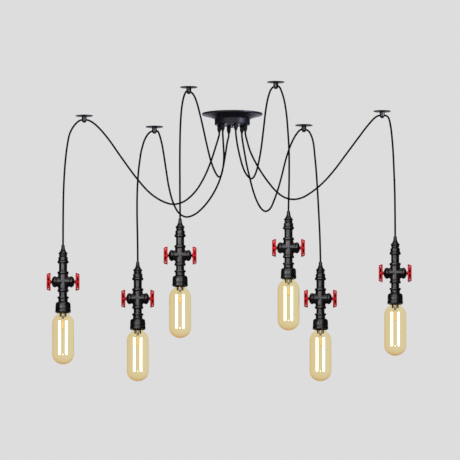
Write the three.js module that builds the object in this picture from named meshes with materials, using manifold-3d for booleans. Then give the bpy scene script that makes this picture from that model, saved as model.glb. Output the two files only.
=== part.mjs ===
// Spider pendant light. A ceiling canopy feeds six textile cords. Each cord sags out to a hook of its own
// on the ceiling, passes through it, and hangs a pendant made of pipe fittings, with a pair of red valve
// handwheels and a long tubular filament bulb.
// Millimetres, +Z up. The origin is on the ceiling at the canopy's centre, X runs to the right and Y away
// from the viewer.
import * as THREE from 'three';
import { mergeVertices } from 'three/addons/utils/BufferGeometryUtils.js';
import Module from 'manifold-3d';

const wasm = await Module();
wasm.setup();

// Clearances
const seatGap = 0.3;
const turningGap = 0.2;
const overrun = 2;

// Canopy: a spun steel cover with a flat rim against the ceiling, a coved step and a cup
const canopy = {
  rimRadius: 86,
  rimHeight: 4.8,
  rimChamfer: 2,
  cupRadius: 50.2,
  depth: 33.5,
  coveHeight: 11.2,
  cupCornerRadius: 3,
  wall: 1.5,
  facets: 16,
};
const coveOutShares = [1, 0.5, 0];
const coveDropShares = [0, 0.55, 1];

// What holds the canopy up, and the mains terminal inside it
const bracket = { length: 110, width: 22, thickness: 2, screwRadius: 2.4, screwSpacing: 80 };
const stud = { radius: 3, threadBelowCanopy: 5.5, facets: 8 };
const capNut = { radius: 5.5, height: 8, domeHeight: 2.4, facets: 8 };
const terminal = { width: 16, baseHeight: 5, poles: 3, sideClearance: 1.25 };
const terminalOffsetShare = 0.415;
const terminalTower = { height: 7, length: 9, width: 12 };

// Cord grips in the canopy's floor
const gland = {
  nutRadius: 6,
  nutHeight: 3,
  neckRadius: 3.7,
  bodyRadius: 5.7,
  bodyLength: 11.2,
  capRadius: 3.9,
  capLength: 5.2,
  tipRadius: 3.15,
  tipLength: 2.8,
  facets: 6,
};

// Ceiling hooks: a round plate and a barrel with a cross hole for the cord
const hook = {
  plateRadius: 25,
  plateThickness: 2,
  barrelRadius: 7.15,
  barrelLength: 16.6,
  domeRadius: 3.4,
  domeLength: 4.2,
  holeDepth: 12.8,
  plateFacets: 12,
  barrelFacets: 8,
};

// Textile cord
const cord = { radius: 2.4, facets: 8, straightInHook: 8.5, straightAtEnds: 6 };

// Pendant fittings, from the cord grip down to the lamp socket
const cordCone = { tipRadius: 3.25, waistRadius: 4.5, baseRadius: 7.3, waistHeight: 10.9, flareHeight: 6.7 };
const topCollar = { radius: 12.7, upperHeight: 7.3, lowerHeight: 3.6 };
const collarNeck = { radius: 9.8, height: 2.5 };
const coupling = { radius: 13.05, shoulderHeight: 4.6, height: 10.8, bandRadius: 15.9, bandHeight: 6.4 };
const nipple = { radius: 10.65, upperLength: 25.1, lowerLength: 15.8, plugLength: 10, boreRadius: 7.2 };
const cross = {
  halfHeight: 28.1,
  runRadius: 13.2,
  bandRadius: 15.3,
  bandHeight: 7.5,
  armRadius: 13.5,
  armLength: 20.3,
  headRadius: 15.5,
  headStraight: 5.2,
  headRound: 4.4,
  headRoundRadius: 11.2,
  headFace: 2.4,
  headFaceRadius: 5.4,
};
const wheelStem = { radius: 2.8, length: 1.7, screwRadius: 4.6, screwHeight: 2.7, facets: 6 };
const pipeFacets = 8;

// Valve handwheel: an eight-sided conical rim with a window in each side, four spokes and a hub
const wheel = {
  sides: 8,
  hubRadius: 5.2,
  hubLength: 6.9,
  hubFacets: 6,
  rimSetback: 1.9,
  rimWidth: 11,
  wideFlatRadius: 25.4,
  narrowFlatRadius: 21.4,
  rimWall: 4.6,
  windowLength: 11,
  windowWidth: 5,
  spokes: 4,
  spokeWidth: 3.9,
  spokeThickness: 3.2,
};
const spokeTurn = 22.5;
const wheelTurn = -8.5;

// Lamp socket: threaded neck, cup and lamp bore
const socket = {
  bandRadius: 15.4,
  bandHeight: 5.1,
  neckRadius: 13.4,
  neckLength: 8.4,
  shoulderRadius: 17,
  shoulderHeight: 3.7,
  cupRadius: 20.8,
  mouthRadius: 22.5,
  cupLength: 29.1,
  lipRound: 1.6,
  wireRadius: 5,
  floorHeight: 4.2,
  lipDepth: 3.5,
  lipWall: 1.7,
};

// Tubular filament bulb
const bulbCap = { radius: 13.2, length: 25.2, contactRadius: 6, contactHeight: 1.2 };
const bulbGlass = {
  neckRadius: 14,
  neckLength: 6,
  shoulderLength: 31.2,
  radius: 31.2,
  bodyLength: 89.5,
  domeHeight: 29.1,
  wall: 1.5,
  facets: 8,
};
const outerShoulderShares = [
  { out: 0, drop: 0 },
  { out: 0.6, drop: 0.3 },
  { out: 0.88, drop: 0.6 },
  { out: 1, drop: 1 },
];
const innerShoulderShares = [
  { out: 0, drop: 0 },
  { out: 0.6, drop: 0.3 },
  { out: 1, drop: 1 },
];
const stem = {
  flareRadius: 10,
  flareLength: 17,
  rodRadius: 2.2,
  buttonHeight: 1.6,
  facets: 6,
};
const rodIntoDomeShare = 0.07;
const filament = { count: 2, circleRadius: 9.5, radius: 1.1, facets: 4 };

// The six arms of the spider. Hook places are shares of ceilingReach, drops of hangDrop and outsets of
// hangOutset; gland and hook turns are degrees about Z.
const ceilingReach = 400;
const hangDrop = 400;
const hangOutset = 40;
const armShares = [
  { x: -1.055, y: 0.12, drop: 0.927, outset: 1.5175, hookTurn: 174, glandTurn: 165 },
  { x: -0.555, y: 0.765, drop: 0.9585, outset: 1.55, hookTurn: 140, glandTurn: 105 },
  { x: -0.31, y: -1.5525, drop: 0.958, outset: 1.205, hookTurn: 239, glandTurn: 225 },
  { x: 0.31, y: -1.85, drop: 0.9395, outset: 1.35, hookTurn: -48, glandTurn: 285 },
  { x: 0.51, y: 0.675, drop: 0.9685, outset: 1.59, hookTurn: 42, glandTurn: 45 },
  { x: 1.0675, y: -0.145, drop: 0.901, outset: 0.9375, hookTurn: -7, glandTurn: 345 },
];

// Route of each cord between its gland and its hook, then between its hook and its pendant
const feedPoints = [
  [[-48, 13, -96], [-61, 14, -136], [-81.5, 16, -184], [-106.5, 19, -223], [-138, 22, -250],
    [-169, 25, -257.5], [-200, 28, -248], [-235, 32, -224], [-273, 35, -181], [-313, 38, -126],
    [-351, 42, -71], [-370, 43.5, -47], [-382, 44.5, -34], [-393, 45.5, -24], [-403, 46.3, -17]],
  [[-14, 41.5, -76], [-20, 54, -113], [-26, 70, -145], [-36, 90, -180], [-54, 111, -216], [-79, 137, -248],
    [-106, 163, -269], [-131.5, 187, -274], [-152.5, 207, -260], [-168.8, 223, -228], [-180.7, 238, -182],
    [-188.7, 252, -131], [-195.8, 266, -82], [-200.2, 275, -56], [-204.4, 282, -37.5],
    [-208, 288.7, -24.7], [-211.4, 294.5, -16.4]],
  [[-26, -35, -84], [-24, -66, -129], [-26, -113, -166], [-31, -174, -196], [-38, -243, -212],
    [-48, -313, -208], [-61, -379, -183], [-74, -444, -138], [-86, -501, -90], [-96, -548, -54],
    [-101.6, -572, -37], [-106.3, -588, -26.5], [-111.9, -601, -18]],
  [[13.5, -48, -90], [22, -89, -136], [32, -155, -178], [43, -229, -207], [54, -303, -224],
    [63, -378, -226], [72, -448, -209], [81, -518, -172], [88.2, -584, -124], [94.3, -646, -77.6],
    [98.6, -677, -53.4], [103.6, -701, -34.3], [109.9, -720, -20.1]],
  [[29.2, 31.5, -75], [34.8, 43, -107], [40.8, 56, -139], [49.3, 73, -174], [58, 92, -206],
    [69.6, 113, -236.4], [82.5, 134, -256.5], [95, 154, -262], [108, 171, -252], [119, 185, -227],
    [130.8, 199, -191], [142.1, 213, -148], [152, 227, -106], [162, 236, -73], [172, 244, -48],
    [181.7, 251, -30], [190, 257.7, -18.5]],
  [[42, -11, -80], [51, -13, -110], [64, -14, -138], [81, -16, -168], [103, -19, -200], [126, -22, -227],
    [149, -25, -244], [174, -28, -250], [200, -31, -245], [229, -35, -228], [257, -39, -205],
    [288, -42, -171], [325, -47, -122], [360, -50, -75], [378, -52, -51], [391, -53.5, -35],
    [402, -55, -23], [410.5, -56, -16]],
];
const dropPoints = [
  [[-437, 49.5, -15.5], [-445, 50.5, -21.9], [-452.2, 51.5, -30.6], [-458.8, 52, -41.3],
    [-464.5, 52.5, -55], [-468, 53, -71], [-472.5, 53.5, -100], [-477, 54, -145], [-480.5, 54, -205],
    [-482, 54.5, -280]],
  [[-234, 316, -14.5], [-240, 321, -19.5], [-246, 326, -28], [-251.5, 330.5, -39], [-255.5, 334.5, -52],
    [-260, 337.5, -69], [-263.5, 341, -92], [-267.5, 344, -125], [-270.5, 347, -172],
    [-271.5, 347.5, -235], [-270, 346.5, -320]],
  [[-131.4, -634.5, -15], [-134.1, -640.5, -19.8], [-136.9, -645, -26.6], [-139.2, -649, -35.4],
    [-141.9, -653, -48.4], [-144.2, -657, -65], [-146.4, -660.5, -90], [-148.3, -662.5, -130],
    [-149.4, -662.5, -190], [-149.4, -661.5, -280]],
  [[133.4, -751, -15.2], [136.4, -755.5, -20], [139.2, -759, -26.8], [142.6, -762.5, -36.6],
    [146.8, -766.5, -51.3], [150.9, -771, -72.3], [154.9, -775.5, -102], [158.4, -779, -145],
    [161.5, -781.5, -200], [162, -782.5, -280]],
  [[215.5, 280.5, -14.5], [220.5, 284.5, -19.5], [224, 288, -26], [227.5, 291, -34.5],
    [230.5, 294, -45.5], [232.5, 296, -58], [235, 298, -83], [238.5, 301, -120], [242, 304, -170],
    [246, 308, -240], [249.5, 311, -315]],
  [[440.7, -59.5, -14.7], [444.9, -60, -19], [447.5, -60.4, -25.5], [449.6, -60.7, -34.8],
    [452.1, -61, -49], [454.8, -61.5, -73], [458, -62, -112], [460.5, -62, -165], [463, -62.5, -235]],
];

// Heights within a pendant, measured down from the tip of its cord cone
const couplingTop = cordCone.waistHeight + cordCone.flareHeight + topCollar.upperHeight
  + topCollar.lowerHeight + collarNeck.height;
const crossTop = couplingTop + coupling.shoulderHeight + coupling.height + coupling.bandHeight
  + nipple.upperLength;
const crossDepth = crossTop + cross.halfHeight;
const socketDepth = crossDepth + cross.halfHeight + nipple.lowerLength;
const socketNipplePocket = nipple.plugLength + overrun;
const lampFloorDepth = socketNipplePocket + socket.floorHeight;
const bulbCapDepth = socketDepth + lampFloorDepth + bulbCap.contactHeight + seatGap;
const glassDepth = bulbCapDepth + bulbCap.length + seatGap;
const headEnd = cross.armLength + cross.headStraight + cross.headRound + cross.headFace;
const hubStart = headEnd + wheelStem.length;
const rimStart = hubStart + wheel.rimSetback;
const screwStart = hubStart + wheel.hubLength + seatGap;
const rodLength = seatGap + bulbGlass.shoulderLength + bulbGlass.bodyLength
  + rodIntoDomeShare * bulbGlass.domeHeight;

const finishes = {
  canopySteel: { color: 0x3a3b42, roughness: 0.45, metalness: 0.6 },
  blackPipe: { color: 0x2a2a2c, roughness: 0.4, metalness: 0.7 },
  plainSteel: { color: 0x9a9da2, roughness: 0.4, metalness: 0.9 },
  terminalPlastic: { color: 0xe6e2d6, roughness: 0.5, metalness: 0 },
  cordTextile: { color: 0x151515, roughness: 0.9, metalness: 0 },
  redEnamel: { color: 0xd0121b, roughness: 0.35, metalness: 0.2 },
  amberGlass: { color: 0xdcbf86, roughness: 0.05, metalness: 0 },
  lampCore: { color: 0xd9a13c, roughness: 0.4, metalness: 0.6 },
};

const turnAngle = THREE.MathUtils.degToRad;

// A polygon drawn round a circle has its corners at this radius.
const roundHole = (radius, facets) => radius / Math.cos(Math.PI / facets);

// The glands stand on the canopy's floor, their nuts just clear of its wall.
const canopyFloorRadius = canopy.cupRadius - canopy.cupCornerRadius - canopy.wall;
const glandCircleRadius = canopyFloorRadius * Math.cos(Math.PI / canopy.facets) - gland.nutRadius - seatGap;

// Leaves position and index only, with shared vertices merged and collapsed triangles dropped
function weld(geometry) {
  const bare = geometry.clone();
  bare.deleteAttribute('normal');
  bare.deleteAttribute('uv');
  const merged = mergeVertices(bare);
  const kept = [];
  const index = merged.index.array;
  for (let i = 0; i < index.length; i += 3) {
    const [a, b, c] = [index[i], index[i + 1], index[i + 2]];
    if (a !== b && b !== c && c !== a) {
      kept.push(a, b, c);
    }
  }
  merged.setIndex(kept);
  return merged;
}

function toSolid(geometry) {
  const welded = weld(geometry);
  return new wasm.Manifold(new wasm.Mesh({
    numProp: 3,
    vertProperties: new Float32Array(welded.attributes.position.array),
    triVerts: new Uint32Array(welded.index.array),
  }));
}

function toGeometry(solid) {
  const mesh = solid.getMesh();
  const geometry = new THREE.BufferGeometry();
  geometry.setAttribute('position', new THREE.BufferAttribute(new Float32Array(mesh.vertProperties), 3));
  geometry.setIndex(new THREE.BufferAttribute(new Uint32Array(mesh.triVerts), 1));
  return geometry;
}

// Turns an outline of [radius, height] points about the Z axis, with its faces pointing out
function revolve(outline, facets, startTurn = 0) {
  const points = outline.map(([radius, height]) => new THREE.Vector2(radius, height));
  const onAxis = points[0].x === 0 && points.at(-1).x === 0;
  if (THREE.ShapeUtils.isClockWise(points)) {
    points.reverse();
  }
  if (!onAxis) {
    points.push(points[0].clone());
  }
  const geometry = new THREE.LatheGeometry(points, facets, turnAngle(startTurn), Math.PI * 2);
  return weld(geometry.rotateX(Math.PI / 2));
}

// Stacks [height, upperRadius, lowerRadius] sections downwards from a level into an outline on the axis
function stack(sections, level = 0) {
  const outline = [[0, level]];
  let height = level;
  for (const [length, upper, lower] of sections) {
    outline.push([upper, height]);
    height -= length;
    outline.push([lower, height]);
  }
  outline.push([0, height]);
  return outline.filter(([radius, z], i) => {
    const previous = outline[i - 1];
    return !previous || radius !== previous[0] || z !== previous[1];
  });
}

function rod(radius, length, facets, level = 0) {
  return revolve(stack([[length, radius, radius]], level), facets);
}

function box(length, width, height) {
  return new THREE.BoxGeometry(length, width, height);
}

function namedMesh(name, geometry, finish) {
  const mesh = new THREE.Mesh(geometry, new THREE.MeshStandardMaterial(finishes[finish]));
  mesh.name = name;
  return mesh;
}

// Canopy

function coveOutline(offset) {
  const reach = canopy.rimRadius - canopy.rimChamfer - canopy.cupRadius;
  return coveOutShares.map((out, i) => [
    canopy.cupRadius + out * reach - offset,
    offset - canopy.rimHeight - coveDropShares[i] * canopy.coveHeight,
  ]);
}

function canopyOutline(offset, top) {
  const { rimRadius, rimHeight, cupRadius, depth, cupCornerRadius } = canopy;
  return [
    [0, top],
    [rimRadius - offset, top],
    [rimRadius - offset, offset - rimHeight],
    ...coveOutline(offset),
    [cupRadius - offset, offset + cupCornerRadius - depth],
    [cupRadius - cupCornerRadius - offset, offset - depth],
    [0, offset - depth],
  ];
}

function makeCanopyShell() {
  const outer = toSolid(revolve(canopyOutline(0, 0), canopy.facets));
  const hollow = toSolid(revolve(canopyOutline(canopy.wall, overrun), canopy.facets));
  let shell = outer.subtract(hollow);
  const cutTop = overrun + canopy.wall - canopy.depth;
  const cutLength = canopy.wall + 2 * overrun;
  const studHole = rod(roundHole(stud.radius + seatGap, stud.facets), cutLength, stud.facets, cutTop);
  shell = shell.subtract(toSolid(studHole));
  for (const arm of armShares) {
    const hole = rod(roundHole(gland.neckRadius + seatGap, gland.facets), cutLength, gland.facets, cutTop);
    shell = shell.subtract(toSolid(hole.translate(...glandPlace(arm))));
  }
  return namedMesh('canopy_shell', toGeometry(shell), 'canopySteel');
}

function glandPlace(arm) {
  const turn = turnAngle(arm.glandTurn);
  return [glandCircleRadius * Math.cos(turn), glandCircleRadius * Math.sin(turn), 0];
}

function makeBracket() {
  const { length, width, thickness, screwRadius, screwSpacing } = bracket;
  const studLength = canopy.depth + stud.threadBelowCanopy;
  let solid = toSolid(box(length, width, thickness).translate(0, 0, -thickness / 2));
  solid = solid.add(toSolid(rod(stud.radius, studLength - thickness / 2, stud.facets, -thickness / 2)));
  for (const side of [-1, 1]) {
    const hole = rod(screwRadius, thickness + 2 * overrun, stud.facets, overrun);
    solid = solid.subtract(toSolid(hole.translate((side * screwSpacing) / 2, 0, 0)));
  }
  return namedMesh('ceiling_bracket', toGeometry(solid), 'plainSteel');
}

function makeCapNut() {
  const { radius, height, domeHeight, facets } = capNut;
  const top = -canopy.depth - seatGap;
  const boreDepth = stud.threadBelowCanopy;
  const boreRadius = roundHole(stud.radius + seatGap, facets);
  const outer = revolve(stack([
    [height - domeHeight, radius, radius],
    [domeHeight, radius, radius / 2],
  ], top), facets);
  const bore = rod(boreRadius, boreDepth + overrun, facets, top + overrun);
  return namedMesh('canopy_nut', toGeometry(toSolid(outer).subtract(toSolid(bore))), 'plainSteel');
}

function makeTerminal() {
  const { width, baseHeight, poles, sideClearance } = terminal;
  const length = 2 * (glandCircleRadius * Math.SQRT1_2 - gland.nutRadius - sideClearance);
  const towerHeight = baseHeight + terminalTower.height;
  const bottom = canopy.wall - canopy.depth + seatGap;
  let solid = toSolid(box(length, width, baseHeight).translate(0, 0, baseHeight / 2));
  for (let pole = 0; pole < poles; pole += 1) {
    const place = (length / poles) * (pole + 0.5 - poles / 2);
    const tower = box(terminalTower.length, terminalTower.width, towerHeight);
    solid = solid.add(toSolid(tower.translate(place, 0, towerHeight / 2)));
  }
  const geometry = toGeometry(solid).translate(0, terminalOffsetShare * glandCircleRadius, bottom);
  return namedMesh('terminal_block', geometry, 'terminalPlastic');
}

function makeGland(name, arm) {
  const floorTop = canopy.wall - canopy.depth;
  const outline = stack([
    [gland.nutHeight, gland.nutRadius, gland.nutRadius],
    [canopy.wall + 2 * seatGap, gland.neckRadius, gland.neckRadius],
    [gland.bodyLength, gland.bodyRadius, gland.bodyRadius],
    [gland.capLength, gland.bodyRadius, gland.capRadius],
    [gland.tipLength, gland.capRadius, gland.tipRadius],
  ], floorTop + seatGap + gland.nutHeight);
  const mesh = namedMesh(name, revolve(outline, gland.facets), 'blackPipe');
  mesh.position.set(...glandPlace(arm));
  return mesh;
}

// Ceiling hooks and cords

function hookPlace(arm) {
  return new THREE.Vector3(arm.x * ceilingReach, arm.y * ceilingReach, 0);
}

function outward(arm) {
  return new THREE.Vector3(1, 0, 0).applyAxisAngle(new THREE.Vector3(0, 0, 1), turnAngle(arm.hookTurn));
}

function makeHook(name, arm) {
  const plate = rod(hook.plateRadius, hook.plateThickness, hook.plateFacets);
  const barrel = revolve(stack([
    [hook.barrelLength, hook.barrelRadius, hook.barrelRadius],
    [hook.domeLength, hook.barrelRadius, hook.domeRadius],
  ]), hook.barrelFacets);
  const holeRadius = roundHole(cord.radius + seatGap, cord.facets);
  const holeLength = 2 * (hook.barrelRadius + overrun);
  const hole = rod(holeRadius, holeLength, cord.facets, holeLength / 2).rotateY(Math.PI / 2);
  const solid = toSolid(plate).add(toSolid(barrel)).subtract(toSolid(hole.translate(0, 0, -hook.holeDepth)));
  const mesh = namedMesh(name, toGeometry(solid), 'blackPipe');
  mesh.position.copy(hookPlace(arm));
  mesh.rotation.z = turnAngle(arm.hookTurn);
  return mesh;
}

function pendantPlace(arm) {
  return hookPlace(arm).addScaledVector(outward(arm), arm.outset * hangOutset).setZ(-arm.drop * hangDrop);
}

// A smooth curve whose steps fall on its own points, so that the run through a hook stays straight
class CordCurve extends THREE.CatmullRomCurve3 {
  getUtoTmapping(u) {
    return u;
  }
}

function cordRoute(arm, feed, drop) {
  const [glandX, glandY] = glandPlace(arm);
  const glandTip = -canopy.depth - seatGap - gland.bodyLength - gland.capLength - gland.tipLength;
  const inHook = hookPlace(arm).setZ(-hook.holeDepth);
  const pendantTip = pendantPlace(arm).setZ(seatGap - arm.drop * hangDrop);
  return [
    new THREE.Vector3(glandX, glandY, glandTip - seatGap),
    new THREE.Vector3(glandX, glandY, glandTip - seatGap - cord.straightAtEnds),
    ...feed.map((point) => new THREE.Vector3(...point)),
    inHook.clone().addScaledVector(outward(arm), -cord.straightInHook),
    inHook.clone().addScaledVector(outward(arm), cord.straightInHook),
    ...drop.map((point) => new THREE.Vector3(...point)),
    pendantTip.clone().setZ(pendantTip.z + cord.straightAtEnds),
    pendantTip,
  ];
}

function makeCord(name, route) {
  const section = new THREE.Shape();
  for (let side = 0; side < cord.facets; side += 1) {
    const turn = (2 * Math.PI * (side + 0.5)) / cord.facets;
    const [x, y] = [cord.radius * Math.cos(turn), cord.radius * Math.sin(turn)];
    if (side === 0) {
      section.moveTo(x, y);
    } else {
      section.lineTo(x, y);
    }
  }
  section.closePath();
  const geometry = new THREE.ExtrudeGeometry(section, {
    steps: route.length - 1,
    extrudePath: new CordCurve(route),
    bevelEnabled: false,
  });
  return namedMesh(name, weld(geometry), 'cordTextile');
}

// Pendant

function makePipework(name) {
  const run = revolve(stack([
    [cordCone.waistHeight, cordCone.tipRadius, cordCone.waistRadius],
    [cordCone.flareHeight, cordCone.waistRadius, cordCone.baseRadius],
    [topCollar.upperHeight, cordCone.baseRadius, topCollar.radius],
    [topCollar.lowerHeight, topCollar.radius, collarNeck.radius],
    [collarNeck.height, collarNeck.radius, collarNeck.radius],
    [coupling.shoulderHeight, collarNeck.radius, coupling.radius],
    [coupling.height, coupling.radius, coupling.radius],
    [coupling.bandHeight, coupling.bandRadius, coupling.bandRadius],
    [nipple.upperLength, nipple.radius, nipple.radius],
    [cross.bandHeight, cross.bandRadius, cross.bandRadius],
    [2 * (cross.halfHeight - cross.bandHeight), cross.runRadius, cross.runRadius],
    [cross.bandHeight, cross.bandRadius, cross.bandRadius],
    [nipple.lowerLength + nipple.plugLength, nipple.radius, nipple.radius],
  ]), pipeFacets);
  const bottom = -socketDepth - nipple.plugLength;
  const boreLength = nipple.plugLength + nipple.lowerLength + 2 * cross.halfHeight + nipple.upperLength;
  const bore = rod(nipple.boreRadius, boreLength + overrun, pipeFacets, bottom + boreLength);
  let solid = toSolid(run);
  for (const side of [-1, 1]) {
    solid = solid.add(toSolid(crossArm().rotateY((side * Math.PI) / 2).translate(0, 0, -crossDepth)));
  }
  return namedMesh(name, toGeometry(solid.subtract(toSolid(bore))), 'blackPipe');
}

// One side arm of the cross with its domed plug, wheel stem and screw, standing up along Z
function crossArm() {
  const arm = revolve(stack([
    [cross.headFace, cross.headFaceRadius, cross.headRoundRadius],
    [cross.headRound, cross.headRoundRadius, cross.headRadius],
    [cross.headStraight, cross.headRadius, cross.headRadius],
    [cross.armLength, cross.armRadius, cross.armRadius],
  ], headEnd), pipeFacets, 180 / pipeFacets);
  const wheelScrew = revolve(stack([
    [wheelStem.screwHeight, wheelStem.screwRadius, wheelStem.screwRadius],
    [screwStart - headEnd + cross.headFace, wheelStem.radius, wheelStem.radius],
  ], screwStart + wheelStem.screwHeight), wheelStem.facets);
  return toGeometry(toSolid(arm).add(toSolid(wheelScrew)));
}

// A handwheel standing on its stem, which points up along Z
function makeWheelGeometry() {
  const { sides, hubFacets, rimWidth, rimWall, wideFlatRadius, narrowFlatRadius } = wheel;
  const rimEnd = rimStart + rimWidth;
  const corner = (flatRadius) => roundHole(flatRadius, sides);
  const rim = revolve([
    [corner(wideFlatRadius - rimWall), rimStart],
    [corner(wideFlatRadius), rimStart],
    [corner(narrowFlatRadius), rimEnd],
    [corner(narrowFlatRadius - rimWall), rimEnd],
  ], sides, 180 / sides);
  let solid = toSolid(rim);
  for (let side = 0; side < sides / 2; side += 1) {
    const window = box(2 * wideFlatRadius + overrun, wheel.windowLength, wheel.windowWidth);
    window.translate(0, 0, rimStart + rimWidth / 2).rotateZ((2 * Math.PI * side) / sides);
    solid = solid.subtract(toSolid(window));
  }
  const spokeReach = 2 * (wideFlatRadius - rimWall / 2);
  for (let pair = 0; pair < wheel.spokes / 2; pair += 1) {
    const spoke = box(spokeReach, wheel.spokeWidth, wheel.spokeThickness);
    spoke.translate(0, 0, rimStart + wheel.spokeThickness / 2);
    spoke.rotateZ(turnAngle(spokeTurn) + (2 * Math.PI * pair) / wheel.spokes);
    solid = solid.add(toSolid(spoke));
  }
  const hub = rod(wheel.hubRadius, wheel.hubLength, hubFacets, hubStart + wheel.hubLength);
  const boreRadius = roundHole(wheelStem.radius + turningGap, hubFacets);
  const bore = rod(boreRadius, wheel.hubLength + 2 * overrun, hubFacets, hubStart + wheel.hubLength + overrun);
  return toGeometry(solid.add(toSolid(hub)).subtract(toSolid(bore)));
}

function makeWheel(name, side) {
  const geometry = makeWheelGeometry().rotateZ(turnAngle(side * wheelTurn));
  const mesh = namedMesh(name, geometry, 'redEnamel');
  mesh.rotation.y = (side * Math.PI) / 2;
  mesh.position.z = -crossDepth;
  return mesh;
}

function makeSocket(name) {
  const outer = stack([
    [socket.bandHeight, socket.bandRadius, socket.bandRadius],
    [socket.neckLength, socket.neckRadius, socket.neckRadius],
    [socket.shoulderHeight, socket.shoulderRadius, socket.cupRadius],
    [socket.cupLength - socket.lipRound, socket.cupRadius, socket.mouthRadius],
    [socket.lipRound, socket.mouthRadius, socket.mouthRadius - socket.lipRound],
  ]);
  const total = socket.bandHeight + socket.neckLength + socket.shoulderHeight + socket.cupLength;
  const hollow = stack([
    [overrun + socketNipplePocket, nipple.radius + roundHole(seatGap, pipeFacets)],
    [socket.floorHeight, socket.wireRadius],
    [total - lampFloorDepth - socket.lipDepth, roundHole(bulbCap.radius + seatGap, pipeFacets)],
    [socket.lipDepth + overrun, socket.mouthRadius - socket.lipRound - socket.lipWall],
  ].map(([length, radius]) => [length, radius, radius]), overrun);
  const solid = toSolid(revolve(outer, pipeFacets)).subtract(toSolid(revolve(hollow, pipeFacets)));
  const mesh = namedMesh(name, toGeometry(solid), 'blackPipe');
  mesh.position.z = -socketDepth;
  return mesh;
}

function glassOutline(offset, shoulderShares, domeSteps) {
  const { neckRadius, neckLength, shoulderLength, radius, bodyLength, domeHeight } = bulbGlass;
  const outline = [[neckRadius - offset, 0]];
  for (const { out, drop } of shoulderShares) {
    const shoulderDrop = drop * (shoulderLength - neckLength);
    outline.push([neckRadius + out * (radius - neckRadius) - offset, -neckLength - shoulderDrop]);
  }
  const domeTop = -shoulderLength - bodyLength;
  for (let step = 0; step <= domeSteps; step += 1) {
    const turn = (step * Math.PI) / (2 * domeSteps);
    const out = step === domeSteps ? 0 : (radius - offset) * Math.cos(turn);
    outline.push([out, domeTop - (domeHeight - offset) * Math.sin(turn)]);
  }
  return outline;
}

function makeGlass(name) {
  const outer = glassOutline(0, outerShoulderShares, 3);
  const inner = glassOutline(bulbGlass.wall, innerShoulderShares, 2);
  const outline = [...outer, ...inner.reverse()];
  const mesh = namedMesh(name, revolve(outline, bulbGlass.facets), 'amberGlass');
  mesh.position.z = -glassDepth;
  return mesh;
}

// Screw cap, glass stem, support rod and filaments of the bulb, as one sealed unit
function makeBulbCore(name) {
  const capEnd = bulbCap.contactHeight + bulbCap.length;
  const buttonRadius = filament.circleRadius + 2 * filament.radius;
  const body = revolve(stack([
    [bulbCap.contactHeight, bulbCap.contactRadius, bulbCap.radius],
    [bulbCap.length, bulbCap.radius, bulbCap.radius],
    [stem.flareLength, stem.flareRadius, stem.flareRadius],
    [rodLength - stem.flareLength, stem.rodRadius, stem.rodRadius],
    [stem.buttonHeight, buttonRadius, buttonRadius],
  ]), stem.facets);
  let solid = toSolid(body);
  for (let wire = 0; wire < filament.count; wire += 1) {
    const turn = (2 * Math.PI * wire) / filament.count;
    const barLength = rodLength - stem.flareLength + stem.buttonHeight;
    const barTop = stem.buttonHeight / 2 - capEnd - stem.flareLength;
    const bar = rod(filament.radius, barLength, filament.facets, barTop);
    bar.translate(filament.circleRadius * Math.cos(turn), filament.circleRadius * Math.sin(turn), 0);
    solid = solid.add(toSolid(bar));
  }
  const mesh = namedMesh(name, toGeometry(solid), 'lampCore');
  mesh.position.z = -bulbCapDepth + bulbCap.contactHeight;
  return mesh;
}

function makePendant(name, arm) {
  const pendant = new THREE.Group();
  pendant.add(
    makePipework(`${name}_pipework`),
    makeWheel(`${name}_wheel_left`, -1),
    makeWheel(`${name}_wheel_right`, 1),
    makeSocket(`${name}_socket`),
    makeGlass(`${name}_bulb_glass`),
    makeBulbCore(`${name}_bulb_core`),
  );
  pendant.position.copy(pendantPlace(arm));
  return pendant;
}

// Assembly

const light = new THREE.Group();
light.add(makeCanopyShell(), makeBracket(), makeCapNut(), makeTerminal());
armShares.forEach((arm, i) => {
  const number = i + 1;
  const route = cordRoute(arm, feedPoints[i], dropPoints[i]);
  light.add(
    makeGland(`canopy_gland_${number}`, arm),
    makeHook(`ceiling_hook_${number}`, arm),
    makeCord(`cord_${number}`, route),
    makePendant(`pendant_${number}`, arm),
  );
});

export default light;
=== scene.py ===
# Spider pendant light: a ceiling canopy, six textile cords over ceiling hooks, and six pendants made of pipe
# fittings with red valve handwheels and tubular filament bulbs. Metres, +Z up, the ceiling at z = 0.
import math
from collections import namedtuple

import bmesh
import bpy
import numpy as np
from mathutils import Matrix, Vector


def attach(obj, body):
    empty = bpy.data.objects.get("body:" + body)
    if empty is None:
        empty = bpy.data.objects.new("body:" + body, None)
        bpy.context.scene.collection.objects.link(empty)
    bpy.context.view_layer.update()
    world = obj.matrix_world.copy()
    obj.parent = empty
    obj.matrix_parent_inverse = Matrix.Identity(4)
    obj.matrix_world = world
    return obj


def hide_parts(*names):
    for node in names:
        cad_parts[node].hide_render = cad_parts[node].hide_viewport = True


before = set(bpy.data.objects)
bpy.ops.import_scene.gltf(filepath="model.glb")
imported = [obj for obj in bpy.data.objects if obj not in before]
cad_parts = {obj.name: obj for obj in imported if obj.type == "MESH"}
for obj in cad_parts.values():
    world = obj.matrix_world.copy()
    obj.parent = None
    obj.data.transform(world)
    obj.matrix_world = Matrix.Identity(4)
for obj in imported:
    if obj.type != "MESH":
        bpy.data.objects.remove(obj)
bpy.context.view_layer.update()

MM = 0.001
ROOT = "root"
SIDES = ("left", "right")


# Camera, square on from a little below

PICTURE_SIDE = 460
PIXEL = 2.85 * MM
CANOPY_PIXEL = (232.3, 113.5)
CAMERA_RISE = math.radians(7)
CAMERA_DISTANCE = 3.0
CAMERA_REACH = 20


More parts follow.
